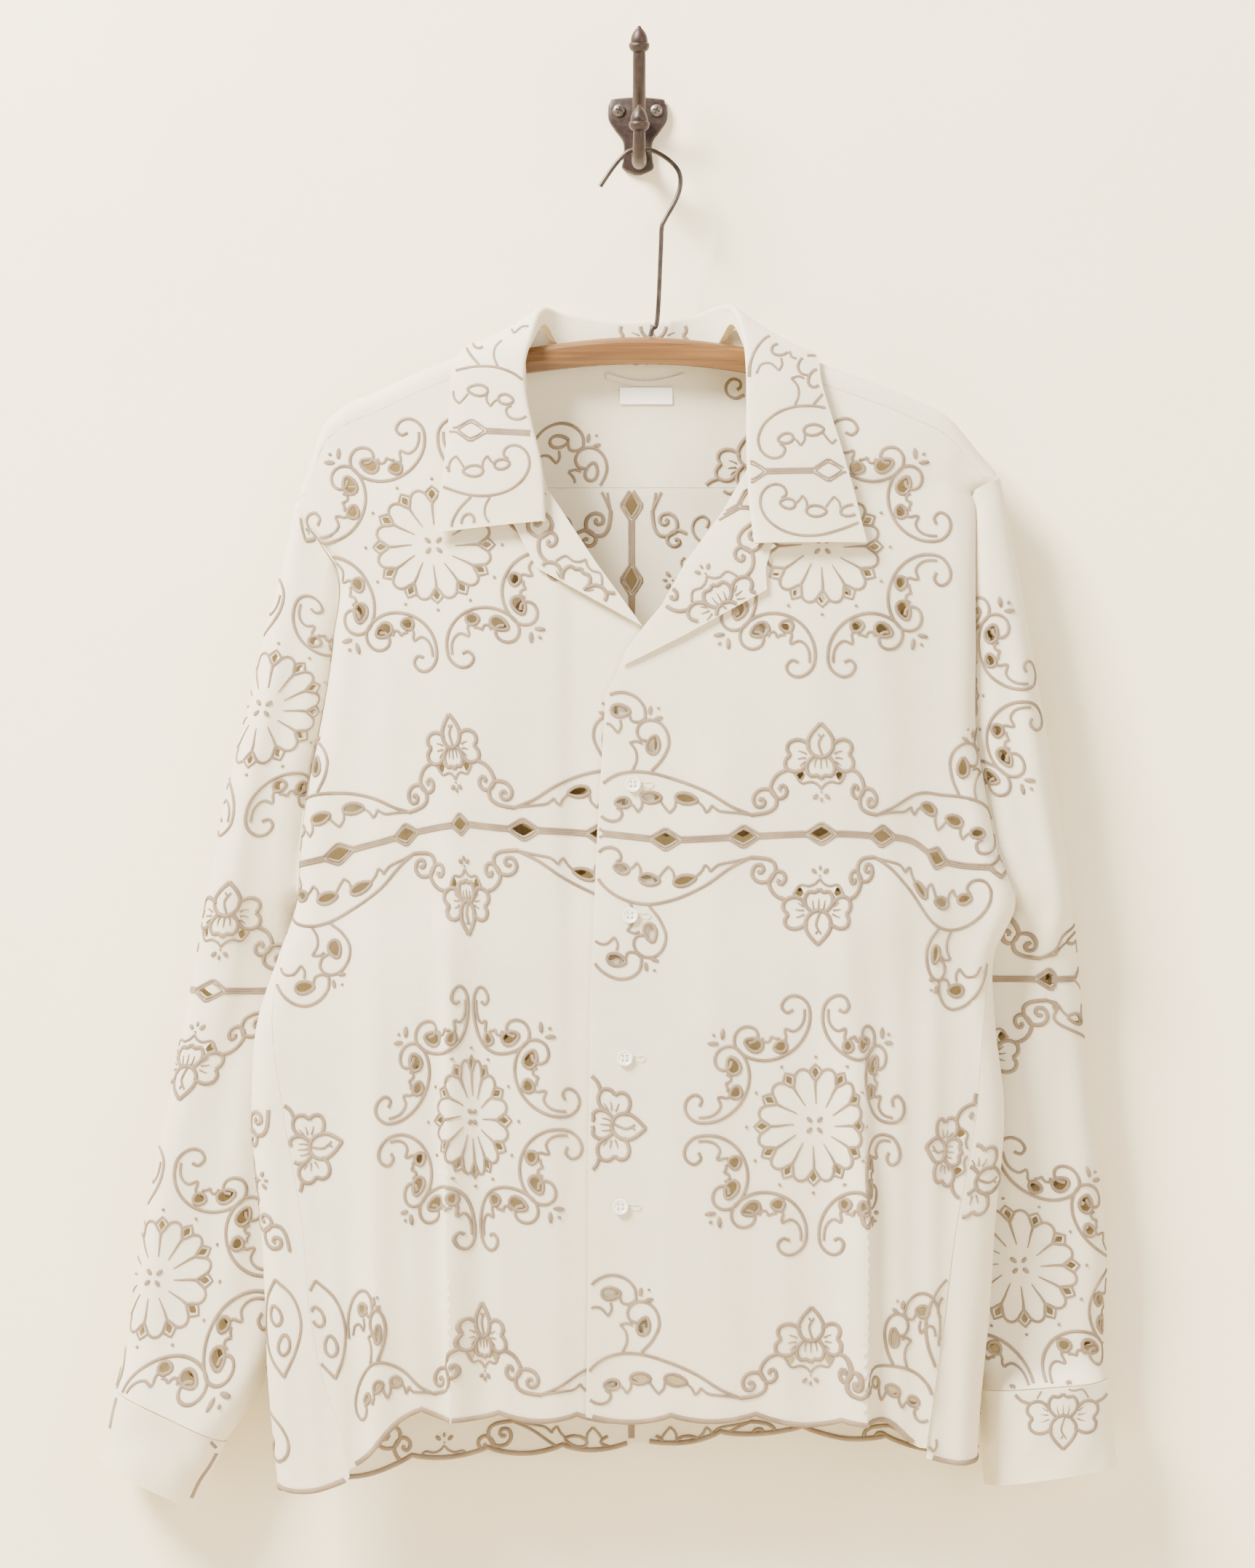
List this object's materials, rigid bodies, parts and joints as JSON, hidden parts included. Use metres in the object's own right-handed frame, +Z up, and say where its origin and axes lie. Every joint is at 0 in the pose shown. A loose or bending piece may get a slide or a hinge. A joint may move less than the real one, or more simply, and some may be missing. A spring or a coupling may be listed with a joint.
{
  "type": "long-sleeved cutwork shirt on a wooden hanger and wall hook",
  "caption": "Camp-collar shirt in corded cutwork linen with a scalloped hem, hung on a wooden hanger from a cast iron coat hook.",
  "frame": {"origin": "centre of the back face of the coat hook's wall plate", "axes": "+X to the viewer's right (the wearer's left), +Y into the wall, +Z up"},
  "size_m": [0.6617, 0.0883, 0.9622],
  "materials": {
    "linen": "plain weave linen, slightly creased, with taupe cotton cord embroidery",
    "label_tape": "smooth white woven tape, bare",
    "button": "pearly, four holes",
    "hanger_wood": "oiled, long straight grain",
    "hook_wire": "dull dark wire",
    "iron": "dark brown lacquer, worn",
    "screw_steel": "tarnished cross-head screws"
  },
  "bodies": {
    "root": {"button_1": "button", "button_2": "button", "button_3": "button", "button_4": "button", "collar": "linen", "hanger_bar": "hanger_wood", "hanger_wire": "hook_wire", "hanging_loop": "linen", "left_cuff": "linen", "left_front": "linen", "left_lapel": "linen", "left_sleeve_back": "linen", "left_sleeve_front": "linen", "neck_label": "label_tape", "right_cuff": "linen", "right_front": "linen", "right_lapel": "linen", "right_sleeve_back": "linen", "right_sleeve_front": "linen", "screw_1": "screw_steel", "screw_2": "screw_steel", "shirt_back": "linen", "wall_hook": "iron", "yoke": "linen"}
  },
  "joints": []
}
